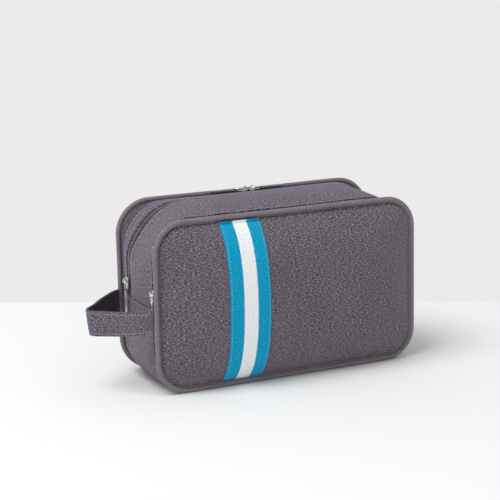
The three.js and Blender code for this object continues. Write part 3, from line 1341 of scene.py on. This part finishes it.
webbingLines = []
for side in (-1, 1):
    x = webbingShape["middle"] + side * (webbingShape["width"] / 2 - webbingShape["stitchIn"])
    top = webbingShape["lift"] + webbingShape["thick"]
    webbingLines.append([webbingPoint(x, z, top) for z in range(9, 147, 2)])
threadSizes = {"Pitch": stitchPitch, "Length": 2.5, "Width": 0.55, "Height": 0.5}
attach(
    beadPiece("webbingStitches", webbingLines, threadSizes, webbingThread),
    "front",
)


# The dividers between the compartments


dividerShape = {"front": -30.9, "rear": 30.7, "thick": 0.7, "clear": 0.5, "wave": 0.6}


def divider(name, y):
    section = sectionAt(y)
    points, faces, flat, _ = panelSheet(section, 1, 0.0, clothThick + dividerShape["clear"])
    waved = []
    for x, _, z in points:
        loose = max(0.0, 1 - (abs(x) / section["half"]) ** 6)
        waved.append((x, y + dividerShape["wave"] * ripple(x, 0, z, 55, y) * loose, z))
    return sheetPiece(name, waved, faces, flat, dividerShape["thick"], nylonLining)


frontDivider = divider("frontDivider", dividerShape["front"])
attach(frontDivider, "bag", ["front_divider"])
rearDivider = divider("rearDivider", dividerShape["rear"])
attach(rearDivider, "rearGusset", ["rear_divider_lower", "rear_divider_upper"])


print("webbing and dividers made")


# The handle: a folded cloth strap with a backing tape, let into both piping seams

handleShape = {
    "width": 23.4,
    "low": 52.0,
    "thick": 1.6,
    "backing": 1.0,
    "gap": 0.3,
    "stations": 90,
    "stitchIn": 2.4,
    "lean": 2.6,  # how much further out the loop's top edge stands than its bottom edge
    "frontEnd": (58.4, 76.6),  # the strap's edges where it enters the front seam
    "middle": (51.8, 75.0),
    "backEnd": (58.5, 79.0),
}
handlePath = [
    (3.2, -41.2),
    (9, -40.2),
    (17, -34.5),
    (27, -23),
    (37, -12.5),
    (43.5, -7),
    (46.5, -1.5),
    (44, 4),
    (36, 12),
    (25.5, 24.5),
    (14.5, 34.5),
    (8, 39),
    (3.2, 40),
]


def centripetal(points, count):
    # A smooth line through the points, at even steps along its length
    ends = [2 * Vector(points[0]) - Vector(points[1]), 2 * Vector(points[-1]) - Vector(points[-2])]
    spots = [ends[0]] + [Vector(p) for p in points] + [ends[1]]
    fine = []
    for p0, p1, p2, p3 in zip(spots, spots[1:], spots[2:], spots[3:]):
        t1 = (p1 - p0).length ** 0.5
        t2 = t1 + (p2 - p1).length ** 0.5
        t3 = t2 + (p3 - p2).length ** 0.5
        for i in range(20):
            t = mix(t1, t2, i / 20)
            a1 = p0 * ((t1 - t) / t1) + p1 * (t / t1)
            a2 = p1 * ((t2 - t) / (t2 - t1)) + p2 * ((t - t1) / (t2 - t1))
            a3 = p2 * ((t3 - t) / (t3 - t2)) + p3 * ((t - t2) / (t3 - t2))
            b1 = a1 * ((t2 - t) / t2) + a2 * (t / t2)
            b2 = a2 * ((t3 - t) / (t3 - t1)) + a3 * ((t - t1) / (t3 - t1))
            fine.append(b1 * ((t2 - t) / (t2 - t1)) + b2 * ((t - t1) / (t2 - t1)))
    fine.append(spots[-2])
    lengths = lengthsOf(fine)
    even = []
    j = 0
    for i in range(count + 1):
        s = lengths[-1] * i / count
        while j < len(fine) - 2 and lengths[j + 1] < s:
            j += 1
        even.append(fine[j].lerp(fine[j + 1], (s - lengths[j]) / (lengths[j + 1] - lengths[j])))
    return even, lengths[-1]


wall = sectionAt(0)["half"]
handleLine, handleLength = centripetal(
    [(-wall - out, y) for out, y in handlePath], handleShape["stations"]
)


def handlePoint(i, off, z):
    last = len(handleLine) - 1
    here = handleLine[i]
    along = (handleLine[min(i + 1, last)] - handleLine[max(i - 1, 0)]).normalized()
    share = (z - handleShape["low"]) / handleShape["width"]
    middle = math.sin(math.pi * i / last) ** 0.8
    end = handleShape["frontEnd" if i < last / 2 else "backEnd"]
    height = mix(mix(*end, share), mix(*handleShape["middle"], share), middle)
    out = -handleShape["lean"] * (share - 0.5) * math.sin(math.pi * i / last) ** 2
    return world(here.x + along.y * off + out, here.y - along.x * off, height)


def strapPiece(name, low, high, fromOff, toOff, look, material):
    half = (high - low) / 2
    steps = [0.0, 0.15, 0.45, 0.9, 1.6, 2.6, 3.6, 5.5, 8.0, half]
    heights = [low + d for d in steps] + [high - d for d in reversed(steps[:-1])]
    rows = []
    for i in range(len(handleLine)):
        s = handleLength * i / handleShape["stations"]
        outer, inner = [], []
        for z in heights:
            near = min(z - low, high - z)
            turnIn = rounding(near, abs(toOff - fromOff) * 0.5) * 0.9
            groove = look * 0.3 * math.exp(-(((near - handleShape["stitchIn"]) / 0.8) ** 2))
            wrinkle = look * 0.25 * ripple(s, z, 0, 11, 3.0)
            outer.append(handlePoint(i, fromOff + turnIn + groove - wrinkle * 0.5, z))
            inner.append(handlePoint(i, toOff - turnIn, z))
        rows.append(outer + inner[::-1])
    uAt = [handleLength * i / handleShape["stations"] for i in range(len(handleLine))]
    vAt = heights + heights[::-1] + heights[:1]
    return gridPiece(name, rows, uAt, vAt, material)


handleHigh = handleShape["low"] + handleShape["width"]
strap = strapPiece(
    "handleStrap", handleShape["low"], handleHigh, -handleShape["thick"], 0.0, 1.0, heatherCloth
)
backing = strapPiece(
    "handleBacking",
    handleShape["low"],
    handleHigh,
    handleShape["gap"],
    handleShape["gap"] + handleShape["backing"],
    0.0,
    backingTape,
)
attach(strap, "bag", ["handle_strap"])
attach(backing, "bag", ["handle_backing"])
print("handle made")


# Stitches

stitchLift = 0.1


def hemLine(shape, fromStart, end, lift):
    # Across a strip's end, fromStart along its path: end 0 at the handle's side, 1 at the other
    lines = {y: stripLine(shape, y, lift) for y in acrossStrip(shape)[1:-1]}
    points = []
    for y, line in lines.items():
        line = line[::-1] if end else line
        gone = 0.0
        for a, b in zip(line, line[1:]):
            step = (b - a).length / mm
            if gone + step >= fromStart:
                points.append(a.lerp(b, (fromStart - gone) / step))
                break
            gone += step
    return points


def grooveLines(name):
    # One line of stitches in each groove along a strip
    shape = stripShapes[name]
    depths = [(shape["from"] if g > 0 else shape["to"]) + g for g in shape["grooves"]]
    return [stripLine(shape, y, stitchLift) for y in depths]


lowerShape = stripShapes["lowerGusset"]
bagLines = []
for name in ("middleGusset", "frontEdgeBand", "rearEdgeBand"):
    bagLines += grooveLines(name)
for end in (0, 1):
    bagLines += [hemLine(lowerShape, d, end, stitchLift) for d in lowerShape["hemGrooves"]]
for z in (handleShape["stitchIn"], handleShape["width"] - handleShape["stitchIn"]):
    bagLines.append(
        [
            handlePoint(i, -handleShape["thick"] + 0.15, handleShape["low"] + z)
            for i in range(2, len(handleLine) - 2)
        ]
    )
attach(beadPiece("bagStitches", bagLines, threadSizes, sewingThread), "bag")
rearStitches = beadPiece("rearStitches", grooveLines("backGusset"), threadSizes, sewingThread)
attach(rearStitches, "rearGusset")
print("stitches made")


# Sliders and pulls, in each slider's own frame:
# U along the zip to its nose, V across, W out of the cloth

sliderShape = {
    "length": 11.0,
    "width": 6.4,
    "plate": 1.2,
    "rise": 0.9,
    "drop": 1.8,
    "floor": 1.0,
    "fin": 0.4,
    "pivotAhead": 2.4,
    "bridgeFrom": 0.55,
    "bridgeTo": 4.1,
    "bridgeHigh": 4.95,
    "bridgeThick": 0.9,
    "bridgeWidth": 1.8,
}
pullShape = {
    "middle": 3.2,
    "thick": 1.5,
    "ringLength": 10.8,
    "ringWidth": 7.8,
    "ringBar": 1.7,
    "reach": 34.0,
    "barWidth": 4.8,
}
endSliderHeight = 88.0
topSliderOut = 6.1


def seat(y, along, x, z):
    step = 0.5
    before, after, here = sectionAt(y - step), sectionAt(y + step), sectionAt(y)
    onTop = abs(along.x) > 0.5
    if onTop:
        slope = (after["high"] - before["high"]) / (2 * step)
        across, sky = Vector((0, 1, slope)), Vector((0, 0, 1))
        spot = (x, y, here["high"])
    else:
        slope = (before["half"] - after["half"]) / (2 * step)
        across, sky = Vector((slope, 1, 0)), Vector((-1, 0, 0))
        spot = (-here["half"], y, z)
    across.normalize()
    out = along.cross(across)
    if out.dot(sky) < 0:
        across.negate()
        out.negate()
    turn = Matrix((along, across, out)).transposed().to_4x4()
    return Matrix.Translation(world(*spot)) @ turn @ Matrix.Scale(mm, 4)


def prism(shape, points, low, high):
    bottom = [shape.verts.new((u, v, low)) for u, v in points]
    top = [shape.verts.new((u, v, high)) for u, v in points]
    shape.faces.new(bottom[::-1])
    lid = shape.faces.new(top)
    for i in range(len(points)):
        n = (i + 1) % len(points)
        shape.faces.new((bottom[i], bottom[n], top[n], top[i]))
    return lid


def sweptBar(shape, sections, closed=False):
    # Each section is the corners round one point of the bar.
    rings = [[shape.verts.new(c) for c in corners] for corners in sections]
    count = len(rings)
    for i in range(count if closed else count - 1):
        a, b = rings[i], rings[(i + 1) % count]
        for k in range(len(a)):
            m = (k + 1) % len(a)
            shape.faces.new((a[k], a[m], b[m], b[k]))
    if not closed:
        shape.faces.new(rings[0][::-1])
        shape.faces.new(rings[-1])


def shield(length, width, narrow, count=28):
    # A slider's plate: a rounded oblong, a little narrower at the tail
    points = []
    for i in range(count):
        a = 2 * math.pi * i / count
        c, s = math.cos(a), math.sin(a)
        u = math.copysign(abs(c) ** 0.55, c) * length / 2
        v = math.copysign(abs(s) ** 0.7, s) * width / 2
        points.append((u, v * mix(narrow, 1.0, (u / length) + 0.5)))
    return points


def finishMetal(name, shape, matrix, body, node, bevel=0.22):
    mesh = bpy.data.meshes.new(name)
    bmesh.ops.recalc_face_normals(shape, faces=shape.faces)
    shape.to_mesh(mesh)
    shape.free()
    made = newObject(name, mesh, nickelPlate)
    edges = made.modifiers.new("edges", "BEVEL")
    edges.width = bevel
    edges.segments = 2
    edges.limit_method = "ANGLE"
    edges.angle_limit = math.radians(40)
    applyModifiers(made)
    made.data.transform(matrix)
    tidyMesh(made.data)
    smooth(made.data, 60)
    attach(made, body, [node])
    return made


barCorners = [(-1, -0.7), (-0.5, -1), (0.5, -1), (1, -0.7)]
barCorners += [(-p, -q) for p, q in barCorners]


def sliderPiece(name, matrix, body):
    s = sliderShape
    shape = bmesh.new()
    top = s["rise"] + s["plate"]
    prism(shape, shield(s["length"], s["width"], 0.82), s["rise"], top)
    prism(
        shape,
        shield(s["length"] - 1, s["width"] - 0.8, 0.82),
        -s["drop"] - s["floor"],
        -s["drop"],
    )
    fin = [(-1, -s["fin"] / 2), (s["length"] / 2 - 1.5, -s["fin"] / 2)]
    fin += [(u, -v) for u, v in reversed(fin)]
    prism(shape, fin, -s["drop"] - 0.1, s["rise"] + 0.1)
    radius = 1.1
    path = [(s["bridgeFrom"], top - 0.3), (s["bridgeFrom"], s["bridgeHigh"] - radius)]
    for i in range(1, 6):
        a = math.pi - i / 6 * math.pi / 2
        path.append(
            (
                s["bridgeFrom"] + radius + radius * math.cos(a),
                s["bridgeHigh"] - radius + radius * math.sin(a),
            )
        )
    path.append((s["bridgeFrom"] + radius, s["bridgeHigh"]))
    mirrored = [(s["bridgeFrom"] + s["bridgeTo"] - u, w) for u, w in reversed(path)]
    path += mirrored
    sections = []
    half, wide = s["bridgeThick"] / 2, s["bridgeWidth"] / 2
    for i, (u, w) in enumerate(path):
        a, b = Vector(path[max(i - 1, 0)]), Vector(path[min(i + 1, len(path) - 1)])
        along = (b - a).normalized()
        side = Vector((-along.y, along.x))
        sections.append(
            [
                (u + side.x * p * half, q * wide, w + side.y * p * half)
                for p, q in barCorners
            ]
        )
    sweptBar(shape, sections)
    return finishMetal(name + "Slider", shape, matrix, body + "_slider", body + "_slider")


def pullPiece(name, matrix, body):
    p = pullShape
    pivot = sliderShape["pivotAhead"]
    shape = bmesh.new()
    ringMiddle = pivot + 0.85 - p["ringLength"] / 2
    a, b = p["ringLength"] / 2 - p["ringBar"] / 2, p["ringWidth"] / 2 - p["ringBar"] / 2
    sections = []
    for i in range(40):
        t = 2 * math.pi * i / 40
        out = Vector((math.cos(t) * b, math.sin(t) * a)).normalized()
        spot = Vector((ringMiddle + a * math.cos(t), b * math.sin(t)))
        corners = []
        for k in range(10):
            r = 2 * math.pi * k / 10
            off = out * (math.cos(r) * p["ringBar"] / 2)
            corners.append(
                (spot.x + off.x, spot.y + off.y, p["middle"] + math.sin(r) * p["thick"] / 2)
            )
        sections.append(corners)
    sweptBar(shape, sections, True)
    half = p["barWidth"] / 2
    start = ringMiddle - a
    end = pivot - p["reach"]
    bar = [(start + 0.4, 1.3), (start - 1.6, 1.5), (start - 4.0, half), (end + half, half)]
    for i in range(1, 8):
        t = math.pi / 2 + i / 8 * math.pi
        bar.append((end + half + half * math.cos(t), half * math.sin(t)))
    bar += [(u, -v) for u, v in reversed(bar[:4])]
    lid = prism(shape, bar[::-1], p["middle"] - p["thick"] / 2, p["middle"] + p["thick"] / 2)
    bmesh.ops.inset_region(shape, faces=[lid], thickness=0.75, use_even_offset=True)
    bmesh.ops.translate(shape, verts=lid.verts, vec=(0, 0, -0.35))
    return finishMetal(name + "Pull", shape, matrix, body + "_pull", body + "_pull", 0.15)


def zipMiddle(track):
    return (track[0] + track[1]) / 2


up = Vector((0, 0, 1))
right = Vector((1, 0, 0))
sliders = [
    ("frontZip", "front_zip", seat(zipMiddle(frontZip), up, 0, endSliderHeight), -16),
    ("mainZip", "main_zip", seat(zipMiddle(mainZip), up, 0, endSliderHeight), -20),
    ("rearZipLeft", "rear_zip_left", seat(zipMiddle(rearZip), right, -topSliderOut, 0), 3),
    ("rearZipRight", "rear_zip_right", seat(zipMiddle(rearZip), -right, topSliderOut, 0), -3),
]
for name, body, matrix, twist in sliders:
    sliderPiece(name, matrix, body)
    middle = Vector((0, 0, pullShape["middle"]))
    turn = Matrix.Rotation(math.radians(twist), 4, "X")
    turned = matrix @ Matrix.Translation(middle) @ turn @ Matrix.Translation(-middle)
    pullPiece(name, turned, body)
print("sliders made")


# The room: a white table, pale all round past its far edge, and soft light from the upper left

room = {
    "edgeBehind": 228.5,
    "edgeTurn": 30.3,
    "keyPlace": (-1150.0, -300.0, 2150.0),
    "keySize": 1500.0,
    "keyPower": 34.0,
    "skyAbove": 0.58,
    "skyBelow": 0.83,
}


def plainSurface(name, colour):
    material, tree, shader = newMaterial(name, {"Roughness": 0.9, "Specular IOR Level": 0.1})
    coords = addNode(tree, "ShaderNodeTexCoord")
    cloud = addNode(
        tree, "ShaderNodeTexNoise", {"Scale": 6.0}, {"Vector": (coords, "Object")}
    )
    ramp = addNode(tree, "ShaderNodeValToRGB", None, {"Fac": (cloud, "Fac")})
    fillRamp(ramp, [(0.0, colour), (1.0, colour)])
    tree.links.new(ramp.outputs[0], shader.inputs["Base Color"])
    return material


def addPlane(name, corners, material):
    mesh = bpy.data.meshes.new(name)
    mesh.from_pydata(corners, [], [(0, 1, 2, 3)])
    newObject(name, mesh, material)


def addLight(name, spot, size, power, colour):
    data = bpy.data.lights.new(name, "AREA")
    data.shape = "DISK"
    data.size = size * mm
    data.energy = power
    data.color = linear(colour)[:3]
    lamp = bpy.data.objects.new(name, data)
    scene.collection.objects.link(lamp)
    lamp.location = world(*spot)
    lamp.rotation_mode = "QUATERNION"
    lamp.rotation_quaternion = (world(0, 0, 70) - lamp.location).to_track_quat("-Z", "Y")


def addRoom(look):
    turn = math.radians(look["edgeTurn"])
    along = Vector((math.cos(turn), -math.sin(turn), 0)) * 4
    inward = Vector((math.sin(turn), math.cos(turn), 0))
    foot = Vector((centre.x, centre.y, 0)) + inward * look["edgeBehind"] * mm
    deep = inward * -6
    addPlane(
        "table",
        [foot - along + deep, foot + along + deep, foot + along, foot - along],
        plainSurface("whiteTable", "#f6f7f7"),
    )
    addLight("key", look["keyPlace"], look["keySize"], look["keyPower"], "#ffffff")
    sky = bpy.data.worlds.new("sky")
    sky.use_nodes = True
    background = sky.node_tree.nodes["Background"]
    background.inputs["Color"].default_value = linear("#ffffff")
    coords = addNode(sky.node_tree, "ShaderNodeTexCoord")
    split = addNode(sky.node_tree, "ShaderNodeSeparateXYZ", None, {0: (coords, "Generated")})
    height = addNode(
        sky.node_tree,
        "ShaderNodeMapRange",
        {
            "From Min": -0.02,
            "From Max": 0.02,
            "To Min": look["skyBelow"],
            "To Max": look["skyAbove"],
        },
        {"Value": (split, "Z")},
    )
    sky.node_tree.links.new(height.outputs[0], background.inputs["Strength"])
    scene.world = sky
    scene.view_settings.view_transform = "Standard"


addRoom(room)
print("room made")
